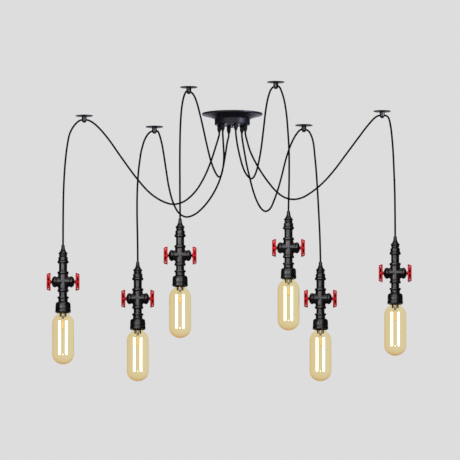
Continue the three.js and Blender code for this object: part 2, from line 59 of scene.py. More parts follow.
def make_camera():
    """Frames the picture so that the ceiling above the canopy falls on the canopy's pixel."""
    up = Vector((0, -math.sin(CAMERA_RISE), math.cos(CAMERA_RISE)))
    back = Vector((0, -math.cos(CAMERA_RISE), -math.sin(CAMERA_RISE)))
    across = (PICTURE_SIDE / 2 - CANOPY_PIXEL[0]) * PIXEL
    rise = (CANOPY_PIXEL[1] - PICTURE_SIDE / 2) * PIXEL
    data = bpy.data.cameras.new("camera")
    data.type = "ORTHO"
    data.ortho_scale = PICTURE_SIDE * PIXEL
    data.clip_end = CAMERA_REACH
    camera = bpy.data.objects.new("camera", data)
    bpy.context.scene.collection.objects.link(camera)
    camera.location = Vector((across, 0, 0)) + up * rise + back * CAMERA_DISTANCE
    camera.rotation_euler = (math.pi / 2 + CAMERA_RISE, 0, 0)
    bpy.context.scene.camera = camera


# Lights

LIGHT_DISTANCE = 5.0
LIGHT_AIM = Vector((0, -0.2, -0.45))
WHITE = (1, 1, 1)
COOL_WHITE = (0.95, 0.96, 1.0)
WARM_WHITE = (1.0, 0.99, 0.97)
BLUE_WHITE = (0.72, 0.8, 1.0)

# Turn to the right of the view in degrees, height, width and length in metres, power in watts, and colour
SOFTBOXES = {
    "front_-42": (-42, 0.08, 2.6, 1.0, 19, COOL_WHITE),
    "front_-14": (-14, 0.08, 2.6, 1.0, 19, COOL_WHITE),
    "front_14": (14, 0.08, 2.6, 1.0, 19, COOL_WHITE),
    "key": (-36, 0.3, 0.9, 1.2, 9, WARM_WHITE),
    "top": (0, 2.3, 4.5, 2.2, 62, WHITE),
}

OVERHEAD_PLACE = Vector((0, -0.4, 4.5))
OVERHEAD_SIDE = 3.0
OVERHEAD_POWER = 22

CANOPY_LIGHT_PLACE = Vector((0.6, -0.36, 0.06))
CANOPY_LIGHT_AIM = Vector((0.01, 0, -0.025))
CANOPY_LIGHT_SIZE = (0.36, 0.12)
CANOPY_LIGHT_POWER = 0.17
CANOPY_LIGHT_SPREAD = math.radians(40)


def area_light(name, place, aim, size, power, color):
    data = bpy.data.lights.new(name, "AREA")
    data.shape = "RECTANGLE"
    data.size, data.size_y = size
    data.energy = power
    data.color = color
    light = bpy.data.objects.new(name, data)
    bpy.context.scene.collection.objects.link(light)
    light.location = place
    light.rotation_euler = (aim - place).to_track_quat("-Z", "Y").to_euler()
    return light


def softbox_place(turn, height):
    """A place at the far lights' distance, at a turn to the right of the view and a height in metres."""
    rise = height - LIGHT_AIM.z
    reach = math.sqrt(LIGHT_DISTANCE ** 2 - rise ** 2)
    return LIGHT_AIM + Vector((reach * math.sin(turn), -reach * math.cos(turn), rise))


def make_lights():
    for name, (turn, height, width, length, power, color) in SOFTBOXES.items():
        place = softbox_place(math.radians(turn), height)
        area_light(name, place, LIGHT_AIM, (width, length), power, color)
    area_light("overhead", OVERHEAD_PLACE, LIGHT_AIM, (OVERHEAD_SIDE, OVERHEAD_SIDE), OVERHEAD_POWER, WHITE)
    near = area_light("canopy_light", CANOPY_LIGHT_PLACE, CANOPY_LIGHT_AIM, CANOPY_LIGHT_SIZE,
                      CANOPY_LIGHT_POWER, BLUE_WHITE)
    near.data.spread = CANOPY_LIGHT_SPREAD


# Materials

# The mix node's sockets that carry colours
COLOR_A = 6
COLOR_B = 7
COLOR_RESULT = 2

# The pattern's values at which a mottled colour and a patchy value reach their two ends
MOTTLE_LIMITS = (0.35, 0.65)
PATCH_LIMITS = (0.3, 0.7)


class Finish:
    """A node material, with short calls for its shader's values and for noise, ramps, mixes and bump."""

    def __init__(self, name, color, roughness, metallic=0.0):
        self.material = bpy.data.materials.new(name)
        self.material.use_nodes = True
        self.nodes = self.material.node_tree.nodes
        self.links = self.material.node_tree.links
        self.shader = self.nodes["Principled BSDF"]
        self.fix("Base Color", (*color, 1))
        self.fix("Roughness", roughness)
        self.fix("Metallic", metallic)
        self.place = self.nodes.new("ShaderNodeTexCoord").outputs["Object"]

    def fix(self, socket, value):
        """Gives the shader one value all over."""
        self.shader.inputs[socket].default_value = value

    def vary(self, socket, value):
        """Gives the shader a value that changes over the surface."""
        self.links.new(value, self.shader.inputs[socket])

    def noise(self, scale, detail, place=None):
        node = self.nodes.new("ShaderNodeTexNoise")
        node.inputs["Scale"].default_value = scale
        node.inputs["Detail"].default_value = detail
        self.links.new(place or self.place, node.inputs["Vector"])
        return node.outputs["Fac"]

    def remap(self, value, low, high, out_low=0.0, out_high=1.0):
        node = self.nodes.new("ShaderNodeMapRange")
        node.inputs["From Min"].default_value = low
        node.inputs["From Max"].default_value = high
        node.inputs["To Min"].default_value = out_low
        node.inputs["To Max"].default_value = out_high
        self.links.new(value, node.inputs["Value"])
        return node.outputs["Result"]

    def mix_color(self, share, first, second):
        node = self.nodes.new("ShaderNodeMix")
        node.data_type = "RGBA"
        self.links.new(share, node.inputs["Factor"])
        for index, color in ((COLOR_A, first), (COLOR_B, second)):
            if isinstance(color, tuple):
                node.inputs[index].default_value = (*color, 1)
            else:
                self.links.new(color, node.inputs[index])
        return node.outputs[COLOR_RESULT]

    def math(self, operation, first, second=None):
        node = self.nodes.new("ShaderNodeMath")
        node.operation = operation
        self.links.new(first, node.inputs[0])
        if second is not None:
            self.links.new(second, node.inputs[1])
        return node.outputs[0]

    def mottle_and_shade(self, pattern, first, second, limits=MOTTLE_LIMITS):
        """Runs the colour from one tone to another by the values of a pattern, for a mottle and, on the red
        enamel, for painted shade.
        """
        self.vary("Base Color", self.mix_color(self.remap(pattern, *limits), first, second))

    def patch(self, pattern, low, high):
        """Runs the roughness from one value to another by the values of a pattern."""
        self.vary("Roughness", self.remap(pattern, *PATCH_LIMITS, low, high))

    def bump(self, height, distance, strength):
        node = self.nodes.new("ShaderNodeBump")
        node.inputs["Distance"].default_value = distance
        node.inputs["Strength"].default_value = strength
        self.links.new(height, node.inputs["Height"])
        self.links.new(node.outputs["Normal"], self.shader.inputs["Normal"])


def pipe_black():
    """Black oxide pipe with a cast grain and patchy sheen."""
    finish = Finish("pipe_black", (0.005, 0.005, 0.006), 0.26)
    finish.fix("Specular IOR Level", 1.0)
    patches = finish.noise(scale=60, detail=3)
    finish.mottle_and_shade(patches, (0.003, 0.003, 0.0035), (0.007, 0.007, 0.008))
    finish.patch(patches, 0.2, 0.33)
    finish.bump(finish.noise(scale=900, detail=2), distance=0.06 * MM, strength=0.4)
    return finish.material


def grip_nylon():
    """Matt black nylon with a moulded grain."""
    finish = Finish("grip_nylon", (0.006, 0.006, 0.007), 0.6)
    finish.fix("Specular IOR Level", 0.35)
    grain = finish.noise(scale=1200, detail=3)
    finish.mottle_and_shade(grain, (0.004, 0.004, 0.0045), (0.01, 0.01, 0.011))
    finish.bump(grain, distance=0.08 * MM, strength=0.5)
    return finish.material


def matt_black(name, color):
    """Satin paint over a plain ground, with a fine grain."""
    finish = Finish(name, color, 0.5)
    finish.fix("Specular IOR Level", 0.2)
    grain = finish.noise(scale=700, detail=3)
    finish.mottle_and_shade(grain, color, tuple(2 * value for value in color))
    finish.patch(finish.noise(scale=60, detail=3), 0.42, 0.58)
    finish.bump(grain, distance=0.08 * MM, strength=0.4)
    return finish.material


def canopy_paint():
    """Dark violet-grey paint over a finely hammered ground."""
    finish = Finish("canopy_paint", (0.012, 0.011, 0.017), 0.36)
    finish.fix("Specular IOR Level", 0.4)
    grain = finish.noise(scale=500, detail=3)
    finish.mottle_and_shade(grain, (0.005, 0.0045, 0.008), (0.02, 0.019, 0.03), limits=(0.4, 0.6))
    finish.patch(finish.noise(scale=25, detail=3), 0.38, 0.46)
    finish.bump(grain, distance=0.2 * MM, strength=0.5)
    return finish.material


# How near other walls must stand for the painted shade that darkens the red, the samples that find them, and
# the open shares from dark to bright
PAINTED_SHADE_REACH = 20 * MM
PAINTED_SHADE_SAMPLES = 8
PAINTED_SHADE_LIMITS = (0.3, 0.6)


def red_enamel():
    """Glossy red enamel over a cast wheel, with painted shade darkening it inside its windows."""
    finish = Finish("red_enamel", (0.74, 0.011, 0.018), 0.34)
    finish.fix("Specular IOR Level", 0.4)
    finish.fix("Specular Tint", (1.0, 0.45, 0.45, 1))
    patches = finish.noise(scale=120, detail=3)
    tone = finish.remap(patches, *PATCH_LIMITS)
    enamel = finish.mix_color(tone, (0.72, 0.009, 0.016), (0.86, 0.016, 0.025))
    # Painted shade: the red turns to a near black red where other walls stand close, inside the wheel's
    # windows
    painted_shade = finish.nodes.new("ShaderNodeAmbientOcclusion")
    painted_shade.samples = PAINTED_SHADE_SAMPLES
    painted_shade.inputs["Distance"].default_value = PAINTED_SHADE_REACH
    finish.mottle_and_shade(painted_shade.outputs["AO"], (0.03, 0.001, 0.002), enamel, limits=PAINTED_SHADE_LIMITS)
    finish.patch(patches, 0.26, 0.42)
    finish.bump(finish.noise(scale=700, detail=2), distance=0.1 * MM, strength=0.4)
    return finish.material


def cord_textile():
    """A braided sleeve: two families of diagonal strands, from the cord's own along and around values."""
    finish = Finish("cord_textile", (0.008, 0.008, 0.009), 0.85)
    finish.fix("Specular IOR Level", 0.05)
    weave = finish.nodes.new("ShaderNodeAttribute")
    weave.attribute_name = "weave"
    split = finish.nodes.new("ShaderNodeSeparateXYZ")
    finish.links.new(weave.outputs["Vector"], split.inputs[0])
    along, around = split.outputs["X"], split.outputs["Y"]
    right = finish.math("SINE", finish.math("ADD", along, around))
    left = finish.math("SINE", finish.math("SUBTRACT", along, around))
    strands = finish.math("MAXIMUM", right, left)
    finish.mottle_and_shade(strands, (0.002, 0.002, 0.003), (0.009, 0.009, 0.010), limits=(-0.2, 1.0))
    finish.bump(strands, distance=0.3 * MM, strength=0.8)
    return finish.material


# Upright streaks painted into the glass's colour as reflections of the lights: their stretch and strength
PAINTED_REFLECTION_STRETCH = (9, 9, 0.5)
PAINTED_REFLECTION_STRENGTH = 0.3
WALL_TONE = (0.83, 0.58, 0.25, 1)
WALL_DENSITY = 60


def amber_glass():
    """Thin amber glass, paler to one side, with upright streaks painted in as reflections of the lights, and
    a deeper tone along its wall.
    """
    finish = Finish("amber_glass", (0.997, 0.917, 0.69), 0.0)
    finish.fix("Transmission Weight", 1.0)
    finish.fix("IOR", 1.004)
    position = finish.nodes.new("ShaderNodeTexCoord").outputs["Generated"]
    stretch = finish.nodes.new("ShaderNodeMapping")
    stretch.inputs["Scale"].default_value = PAINTED_REFLECTION_STRETCH
    finish.links.new(position, stretch.inputs["Vector"])
    # Painted reflections: upright streaks of paler colour that stand in for reflections of the lights
    pattern = finish.noise(scale=1.6, detail=1, place=stretch.outputs[0])
    painted_reflections = finish.remap(pattern, *MOTTLE_LIMITS, -PAINTED_REFLECTION_STRENGTH, PAINTED_REFLECTION_STRENGTH)
    side = finish.nodes.new("ShaderNodeSeparateXYZ")
    finish.links.new(position, side.inputs[0])
    paleness = finish.math("ADD", side.outputs["X"], painted_reflections)
    finish.vary("Base Color", finish.mix_color(paleness, (0.996, 0.91, 0.68), (1.0, 0.955, 0.748)))
    wall = finish.nodes.new("ShaderNodeVolumeAbsorption")
    wall.inputs["Color"].default_value = WALL_TONE
    wall.inputs["Density"].default_value = WALL_DENSITY
    finish.links.new(wall.outputs[0], finish.nodes["Material Output"].inputs["Volume"])
    return finish.material


def steel(name, color, roughness):
    """Bare metal with patches of different sheen."""
    finish = Finish(name, color, roughness, metallic=1.0)
    finish.patch(finish.noise(scale=90, detail=4), roughness - 0.08, roughness + 0.1)
    finish.bump(finish.noise(scale=600, detail=2), distance=0.05 * MM, strength=0.4)
    return finish.material


def glowing_filament():
    """A filament that glows a little unevenly, in a blue white that the amber glass turns pale."""
    finish = Finish("filament_glow", (1.0, 0.8, 0.45), 0.5)
    finish.fix("Emission Color", (0.62, 0.73, 1.0, 1))
    ripple = finish.noise(scale=400, detail=2)
    finish.vary("Emission Strength", finish.remap(ripple, *PATCH_LIMITS, 1.9, 2.3))
    return finish.material


def terminal_plastic():
    """Pale ivory plastic with a fine grain."""
    finish = Finish("terminal_plastic", (0.8, 0.77, 0.68), 0.5)
    finish.patch(finish.noise(scale=200, detail=3), 0.4, 0.6)
    finish.bump(finish.noise(scale=900, detail=2), distance=0.05 * MM, strength=0.3)
    return finish.material


# Surroundings

BACKDROP_GREY = 0.723
AMBIENT_GREY = 0.36
ROOM_DARK = (0.012, 0.012, 0.014)
ROOM_BEHIND = (1.3, 1.26, 1.6)
BEHIND_LIMITS = (0.8, 0.97)
LOW_LIMITS = (0.06, -0.03)
FLOOR_DEPTH = 2.4
FLOOR_SIDE = 12
FLOOR_ROUGHNESS = 0.8


def grey(value):
    return (value, value, value)


def ray_share(tree, operation, first, second):
    """Joins two shares into one that stays from 0 to 1."""
    node = tree.nodes.new("ShaderNodeMath")
    node.operation = operation
    node.use_clamp = True
    tree.links.new(first, node.inputs[0])
    tree.links.new(second, node.inputs[1])
    return node.outputs[0]


def soft_share(tree, value, limits):
    """Rises softly from 0 at the first limit to 1 at the second."""
    node = tree.nodes.new("ShaderNodeMapRange")
    node.interpolation_type = "SMOOTHSTEP"
    node.inputs["From Min"].default_value, node.inputs["From Max"].default_value = limits
    tree.links.new(value, node.inputs["Value"])
    return node.outputs["Result"]


def background(tree, color):
    node = tree.nodes.new("ShaderNodeBackground")
    node.inputs["Color"].default_value = (*color, 1)
    return node.outputs[0]


def blend(tree, share, first, second):
    node = tree.nodes.new("ShaderNodeMixShader")
    for socket, source in zip(node.inputs, (share, first, second)):
        tree.links.new(source, socket)
    return node.outputs[0]


def make_world():
    """A pale backdrop in view and through glass, soft light on matt surfaces, a dark room in reflections.

    The room is bright in one part, low behind the object.
    """
    world = bpy.data.worlds.new("studio")
    bpy.context.scene.world = world
    world.use_nodes = True
    tree = world.node_tree
    tree.nodes.clear()
    ray = tree.nodes.new("ShaderNodeLightPath").outputs
    direction = tree.nodes.new("ShaderNodeSeparateXYZ")
    tree.links.new(tree.nodes.new("ShaderNodeTexCoord").outputs["Generated"], direction.inputs[0])
    behind = soft_share(tree, direction.outputs["Y"], BEHIND_LIMITS)
    low = soft_share(tree, direction.outputs["Z"], LOW_LIMITS)
    glow = ray_share(tree, "MULTIPLY", behind, low)
    room = blend(tree, glow, background(tree, ROOM_DARK), background(tree, ROOM_BEHIND))
    around = blend(tree, ray["Is Glossy Ray"], background(tree, grey(AMBIENT_GREY)), room)
    seen = ray_share(tree, "ADD", ray["Is Camera Ray"], ray["Is Transmission Ray"])
    studio = blend(tree, seen, around, background(tree, grey(BACKDROP_GREY)))
    tree.links.new(studio, tree.nodes.new("ShaderNodeOutputWorld").inputs["Surface"])


def make_floor():
    """A pale floor that is dark in reflections, as the room is."""
    half = FLOOR_SIDE / 2
    mesh = bpy.data.meshes.new("floor")
    corners = ((-half, -half), (half, -half), (half, half), (-half, half))
    mesh.from_pydata([(x, y, -FLOOR_DEPTH) for x, y in corners], [], [(0, 1, 2, 3)])
    floor = bpy.data.objects.new("floor", mesh)
    bpy.context.scene.collection.objects.link(floor)
    finish = Finish("floor_paint", grey(BACKDROP_GREY), FLOOR_ROUGHNESS)
    tree = finish.material.node_tree
    ray = tree.nodes.new("ShaderNodeLightPath").outputs
    mirrored = ray_share(tree, "SUBTRACT", ray["Is Glossy Ray"], ray["Is Transmission Ray"])
    finish.vary("Base Color", finish.mix_color(mirrored, grey(BACKDROP_GREY), ROOM_DARK))
    mesh.materials.append(finish.material)


# Mesh helpers

SMOOTH_ANGLE = math.radians(40)
WELD_DISTANCE = 1e-6
SLIVER_LENGTH = 1e-7
ON_AXIS = 1e-6
NEARLY_STRAIGHT = 0.02
FILLET_STEPS = 5


def link_mesh(name, part, material, body=ROOT):
    """Links a part as a piece that rides on a body, shaded smooth but for its sharp edges."""
    vertices, faces = part
    mesh = bpy.data.meshes.new(name)
    mesh.from_pydata([tuple(vertex) for vertex in vertices], [], faces)
    work = bmesh.new()
    work.from_mesh(mesh)
    bmesh.ops.remove_doubles(work, verts=work.verts, dist=WELD_DISTANCE)
    bmesh.ops.dissolve_degenerate(work, edges=work.edges, dist=SLIVER_LENGTH)
    bmesh.ops.recalc_face_normals(work, faces=work.faces)
    work.to_mesh(mesh)
    work.free()
    mesh.shade_smooth()
    mesh.set_sharp_from_angle(angle=SMOOTH_ANGLE)
    mesh.update()
    mesh.materials.append(material)
    piece = bpy.data.objects.new(name, mesh)
    bpy.context.scene.collection.objects.link(piece)
    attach(piece, body)
    return piece


def turns(count):
    """Angles that share a whole turn evenly."""
    return [2 * math.pi * index / count for index in range(count)]


def fillet(outline, steps=FILLET_STEPS):
    """Rounds the corners of an outline of (radius, height, fillet) points; the fillet can be left out."""
    points = [np.array(point[:2], float) for point in outline]
    rounded = []
    for index, point in enumerate(points):
        size = outline[index][2] if len(outline[index]) > 2 else 0
        if size == 0 or index in (0, len(points) - 1):
            rounded.append(point)
            continue
        before, after = points[index - 1] - point, points[index + 1] - point
        reach_in, reach_out = np.linalg.norm(before), np.linalg.norm(after)
        unit_in, unit_out = before / reach_in, after / reach_out
        half_angle = math.acos(np.clip(unit_in @ unit_out, -1, 1)) / 2
        if math.pi / 2 - half_angle < NEARLY_STRAIGHT:
            rounded.append(point)
            continue
        cut = min(size / math.tan(half_angle), reach_in / 2, reach_out / 2)
        start, end = point + unit_in * cut, point + unit_out * cut
        for step in range(steps + 1):
            share = step / steps
            rounded.append(start * (1 - share) ** 2 + 2 * point * share * (1 - share) + end * share ** 2)
    return rounded


def lathe(outline, segments):
    """Vertices and faces of an outline of (radius, height) points in millimetres turned about Z."""
    vertices, faces, rings = [], [], []
    for radius, height in outline:
        if radius < ON_AXIS:
            rings.append([len(vertices)])
            vertices.append((0, 0, height * MM))
            continue
        first = len(vertices)
        rings.append(list(range(first, first + segments)))
        for turn in turns(segments):
            vertices.append((radius * MM * math.cos(turn), radius * MM * math.sin(turn), height * MM))
    for lower, upper in zip(rings, rings[1:]):
        for side in range(segments):
            after = (side + 1) % segments
            if len(lower) == 1 and len(upper) == 1:
                continue
            if len(lower) == 1:
                faces.append((lower[0], upper[side], upper[after]))
            elif len(upper) == 1:
                faces.append((lower[side], upper[0], lower[after]))
            else:
                faces.append((lower[side], upper[side], upper[after], lower[after]))
    return vertices, faces


def skin(rings, sides):
    """Faces of a solid whose vertices lie in rings, one ring after another, with a face over each end."""
    faces = []
    for ring in range(rings - 1):
        low, high = ring * sides, (ring + 1) * sides
        for side in range(sides):
            after = (side + 1) % sides
            faces.append((low + side, low + after, high + after, high + side))
    faces.append(tuple(reversed(range(sides))))
    faces.append(tuple(range((rings - 1) * sides, rings * sides)))
    return faces


def tube(points, radius, sides):
    """Vertices and faces of a closed round tube through points, all in metres."""
    vertices = []
    normal = None
    for index, point in enumerate(points):
        ahead = points[min(index + 1, len(points) - 1)] - points[max(index - 1, 0)]
        ahead.normalize()
        if normal is None:
            normal = ahead.orthogonal().normalized()
        normal = (normal - ahead * normal.dot(ahead)).normalized()
        across = ahead.cross(normal)
        for turn in turns(sides):
            vertices.append(point + (normal * math.cos(turn) + across * math.sin(turn)) * radius)
    return vertices, skin(len(points), sides)


def rod(start, end, radius, sides):
    """A straight tube with one ring halfway, all in metres."""
    return tube([start, start.lerp(end, 0.5), end], radius, sides)


def join(*parts):
    vertices, faces = [], []
    for part_vertices, part_faces in parts:
        start = len(vertices)
        vertices += [tuple(vertex) for vertex in part_vertices]
        faces += [tuple(start + index for index in face) for face in part_faces]
    return vertices, faces


def moved(part, matrix):
    vertices, faces = part
    return [tuple(matrix @ Vector(vertex)) for vertex in vertices], faces


def shift(place):
    """The matrix that carries a part to a place in millimetres."""
    return Matrix.Translation(place * MM)


# Places in millimetres, as the solids have them: the ceiling hooks, the canopy's grips and the pendants

CEILING_REACH = 400
HANG_DROP = 400
HANG_OUTSET = 40

# The hook's place across and in depth, the pendant's drop and its outset from the hook, as shares of the
# lengths above, and then the turns of the hook and the grip in degrees
Arm = namedtuple("Arm", "across depth drop outset hook_turn grip_turn")
ARMS = {
    1: Arm(-1.055, 0.12, 0.927, 1.5175, 174, 165),
    2: Arm(-0.555, 0.765, 0.9585, 1.55, 140, 105),
    3: Arm(-0.31, -1.5525, 0.958, 1.205, 239, 225),
    4: Arm(0.31, -1.85, 0.9395, 1.35, -48, 285),
    5: Arm(0.51, 0.675, 0.9685, 1.59, 42, 45),
    6: Arm(1.0675, -0.145, 0.901, 0.9375, -7, 345),
}
GLAND_CIRCLE = 38.52
GLAND_TIP = -53.0
HOOK_HOLE = -12.8
SEAT_GAP = 0.3
STRAIGHT_IN_HOOK = 8.5
STRAIGHT_AT_ENDS = 6

# Each cord's points between its grip and its hook, and then between its hook and its pendant
FEED_POINTS = (
    ((-48, 13, -96), (-61, 14, -136), (-81.5, 16, -184), (-106.5, 19, -223), (-138, 22, -250),
     (-169, 25, -257.5), (-200, 28, -248), (-235, 32, -224), (-273, 35, -181), (-313, 38, -126),
     (-351, 42, -71), (-370, 43.5, -47), (-382, 44.5, -34), (-393, 45.5, -24), (-403, 46.3, -17)),
    ((-14, 41.5, -76), (-20, 54, -113), (-26, 70, -145), (-36, 90, -180), (-54, 111, -216),
     (-79, 137, -248), (-106, 163, -269), (-131.5, 187, -274), (-152.5, 207, -260), (-168.8, 223, -228),
     (-180.7, 238, -182), (-188.7, 252, -131), (-195.8, 266, -82), (-200.2, 275, -56),
     (-204.4, 282, -37.5), (-208, 288.7, -24.7), (-211.4, 294.5, -16.4)),
    ((-26, -35, -84), (-24, -66, -129), (-26, -113, -166), (-31, -174, -196), (-38, -243, -212),
     (-48, -313, -208), (-61, -379, -183), (-74, -444, -138), (-86, -501, -90), (-96, -548, -54),
     (-101.6, -572, -37), (-106.3, -588, -26.5), (-111.9, -601, -18)),
    ((13.5, -48, -90), (22, -89, -136), (32, -155, -178), (43, -229, -207), (54, -303, -224),
     (63, -378, -226), (72, -448, -209), (81, -518, -172), (88.2, -584, -124), (94.3, -646, -77.6),
     (98.6, -677, -53.4), (103.6, -701, -34.3), (109.9, -720, -20.1)),
    ((29.2, 31.5, -75), (34.8, 43, -107), (40.8, 56, -139), (49.3, 73, -174), (58, 92, -206),
     (69.6, 113, -236.4), (82.5, 134, -256.5), (95, 154, -262), (108, 171, -252), (119, 185, -227),
     (130.8, 199, -191), (142.1, 213, -148), (152, 227, -106), (162, 236, -73), (172, 244, -48),
     (181.7, 251, -30), (190, 257.7, -18.5)),
    ((42, -11, -80), (51, -13, -110), (64, -14, -138), (81, -16, -168), (103, -19, -200),
     (126, -22, -227), (149, -25, -244), (174, -28, -250), (200, -31, -245), (229, -35, -228),
     (257, -39, -205), (288, -42, -171), (325, -47, -122), (360, -50, -75), (378, -52, -51),
     (391, -53.5, -35), (402, -55, -23), (410.5, -56, -16)),
)
DROP_POINTS = (
    ((-437, 49.5, -15.5), (-445, 50.5, -21.9), (-452.2, 51.5, -30.6), (-458.8, 52, -41.3),
     (-464.5, 52.5, -55), (-468, 53, -71), (-472.5, 53.5, -100), (-477, 54, -145), (-480.5, 54, -205),
     (-482, 54.5, -280)),
    ((-234, 316, -14.5), (-240, 321, -19.5), (-246, 326, -28), (-251.5, 330.5, -39), (-255.5, 334.5, -52),
     (-260, 337.5, -69), (-263.5, 341, -92), (-267.5, 344, -125), (-270.5, 347, -172),
     (-271.5, 347.5, -235), (-270, 346.5, -320)),
    ((-131.4, -634.5, -15), (-134.1, -640.5, -19.8), (-136.9, -645, -26.6), (-139.2, -649, -35.4),
     (-141.9, -653, -48.4), (-144.2, -657, -65), (-146.4, -660.5, -90), (-148.3, -662.5, -130),
     (-149.4, -662.5, -190), (-149.4, -661.5, -280)),
    ((133.4, -751, -15.2), (136.4, -755.5, -20), (139.2, -759, -26.8), (142.6, -762.5, -36.6),
     (146.8, -766.5, -51.3), (150.9, -771, -72.3), (154.9, -775.5, -102), (158.4, -779, -145),
     (161.5, -781.5, -200), (162, -782.5, -280)),
    ((215.5, 280.5, -14.5), (220.5, 284.5, -19.5), (224, 288, -26), (227.5, 291, -34.5),
     (230.5, 294, -45.5), (232.5, 296, -58), (235, 298, -83), (238.5, 301, -120), (242, 304, -170),
     (246, 308, -240), (249.5, 311, -315)),
    ((440.7, -59.5, -14.7), (444.9, -60, -19), (447.5, -60.4, -25.5), (449.6, -60.7, -34.8),
     (452.1, -61, -49), (454.8, -61.5, -73), (458, -62, -112), (460.5, -62, -165), (463, -62.5, -235)),
)


def hook_place(arm):
    return Vector((ARMS[arm].across * CEILING_REACH, ARMS[arm].depth * CEILING_REACH, 0))


def hook_turn(arm):
    return math.radians(ARMS[arm].hook_turn)


def outward(arm):
    turn = hook_turn(arm)
    return Vector((math.cos(turn), math.sin(turn), 0))


def pendant_place(arm):
    outset = outward(arm) * ARMS[arm].outset * HANG_OUTSET
    return hook_place(arm) + outset - Vector((0, 0, ARMS[arm].drop * HANG_DROP))


def gland_place(arm):
    turn = math.radians(ARMS[arm].grip_turn)
    return Vector((GLAND_CIRCLE * math.cos(turn), GLAND_CIRCLE * math.sin(turn), 0))


def cord_points(arm):
    """The cord's listed route in millimetres, from its grip through its hook to its pendant."""
    start = gland_place(arm) + Vector((0, 0, GLAND_TIP - SEAT_GAP))
    in_hook = hook_place(arm) + Vector((0, 0, HOOK_HOLE))
    end = pendant_place(arm) + Vector((0, 0, SEAT_GAP))
    return [
        start,
        start - Vector((0, 0, STRAIGHT_AT_ENDS)),
        *[Vector(point) for point in FEED_POINTS[arm - 1]],
        in_hook - outward(arm) * STRAIGHT_IN_HOOK,
        in_hook + outward(arm) * STRAIGHT_IN_HOOK,
        *[Vector(point) for point in DROP_POINTS[arm - 1]],
        end + Vector((0, 0, STRAIGHT_AT_ENDS)),
        end,
    ]


def smooth_route(points, spacing):
    """Points about a spacing apart on a smooth curve through the given ones.

    The curve's time runs from one point to the next by the square root of their distance.
    """
    knots = [points[0] * 2 - points[1], *points, points[-1] * 2 - points[-2]]
    route = [points[0]]
    for before, start, end, after in zip(knots, knots[1:], knots[2:], knots[3:]):
        start_time = (start - before).length ** 0.5
        end_time = start_time + (end - start).length ** 0.5
        after_time = end_time + (after - end).length ** 0.5
        count = max(1, round((end - start).length / spacing))
        for step in range(1, count + 1):
            time = start_time + (end_time - start_time) * step / count
            share = (time - start_time) / (end_time - start_time)
            middle = start.lerp(end, share)
            arriving = before.lerp(start, time / start_time)
            leaving = end.lerp(after, (time - end_time) / (after_time - end_time))
            early = arriving.lerp(middle, time / end_time)
            late = middle.lerp(leaving, (time - start_time) / (after_time - start_time))
            route.append(early.lerp(late, share))
    return route


# Cords

CORD_RADIUS = 2.4
SLEEVE_NAP = 0.2
CORD_SIDES = 14
ROUTE_SPACING = 4
WEAVE_PITCH = 1.6 * MM
WEAVE_STRANDS = 8


def make_cord(arm, material):
    """A cord in its sleeve, with the weave's along and around values at each of its points."""
    route = [point * MM for point in smooth_route(cord_points(arm), ROUTE_SPACING)]
    sleeve = tube(route, (CORD_RADIUS + SLEEVE_NAP) * MM, CORD_SIDES)
    cord = link_mesh(f"flex_{arm}", sleeve, material)
    distance, rows = 0.0, []
    for index, point in enumerate(route):
        distance += (point - route[index - 1]).length if index else 0
        for turn in turns(CORD_SIDES):
            rows += (distance / WEAVE_PITCH * math.pi, turn * WEAVE_STRANDS, 0)
    weave = cord.data.attributes.new("weave", "FLOAT_VECTOR", "POINT")
    weave.data.foreach_set("vector", rows)
    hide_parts(f"cord_{arm}")


# Canopy, cord grips and hooks

CANOPY_OUTSIDE = (
    (86, 0), (86, -4.2, 0.8), (84.5, -4.9, 0.6), (70.5, -8.4, 14), (58, -12.6, 10), (52.4, -15.2, 3),
    (50.2, -17, 1.5), (50.2, -32.2, 1.4), (48.9, -33.4, 1.2), (3.4, -33.4),
)
CANOPY_INSIDE = (
    (3.4, -31.9), (48.2, -31.9), (48.7, -31, 1), (48.7, -16.2, 2), (57, -11.3, 8), (70, -7, 10),
    (84.4, -3.4, 0.8), (84.6, 0),
)
GRIP_OUTLINE = (
    (0, -28.7), (6, -28.7, 0.5), (6, -31.7, 0.4), (3.8, -31.7, 0.2), (3.8, -33.8, 0.2), (5.7, -33.8, 0.5),
    (5.7, -45, 1.6), (4.2, -50.2, 1.5), (3.2, -52.9, 0.6), (2.5, -53), (0, -53),
)
PLATE_OUTLINE = (
    (0, 0), (24.9, 0, 0.4), (24.9, -1.2, 0.8), (23.6, -2, 0.8), (8, -2.2, 1), (7.2, -3.2, 0.6), (0, -3.2),
)
BARREL_OUTLINE = (
    (0, -2.2), (7.1, -2.2, 0.5), (7.1, -16, 0.8), (5.7, -16.6, 0.8), (5.5, -18.2, 1), (3, -20.6, 1.5),
    (0, -20.8),
)


def make_canopy(material):
    outline = [*fillet(CANOPY_OUTSIDE), *fillet(CANOPY_INSIDE)]
    shell = link_mesh("canopy_cover", lathe([*outline, outline[0]], segments=96), material)
    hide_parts("canopy_shell")


def make_gland(arm, material):
    part = moved(lathe(fillet(GRIP_OUTLINE), segments=24), shift(gland_place(arm)))
    gland = link_mesh(f"cord_grip_{arm}", part, material)
    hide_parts(f"canopy_gland_{arm}")


def make_hook(arm, material, plate_material):
    place = shift(hook_place(arm)) @ Matrix.Rotation(hook_turn(arm), 4, "Z")
    disc = moved(lathe(fillet(PLATE_OUTLINE), segments=48), place)
    plate = link_mesh(f"hook_plate_{arm}", disc, plate_material)
    barrel = moved(lathe(fillet(BARREL_OUTLINE), segments=40), place)
    hook = link_mesh(f"hook_{arm}", barrel, material)
    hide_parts(f"ceiling_hook_{arm}")


# Pipe fittings: the cone, collar, coupling and nipples of the run, and the cross with its arms and plugs

CROSS_DEPTH = 106.0

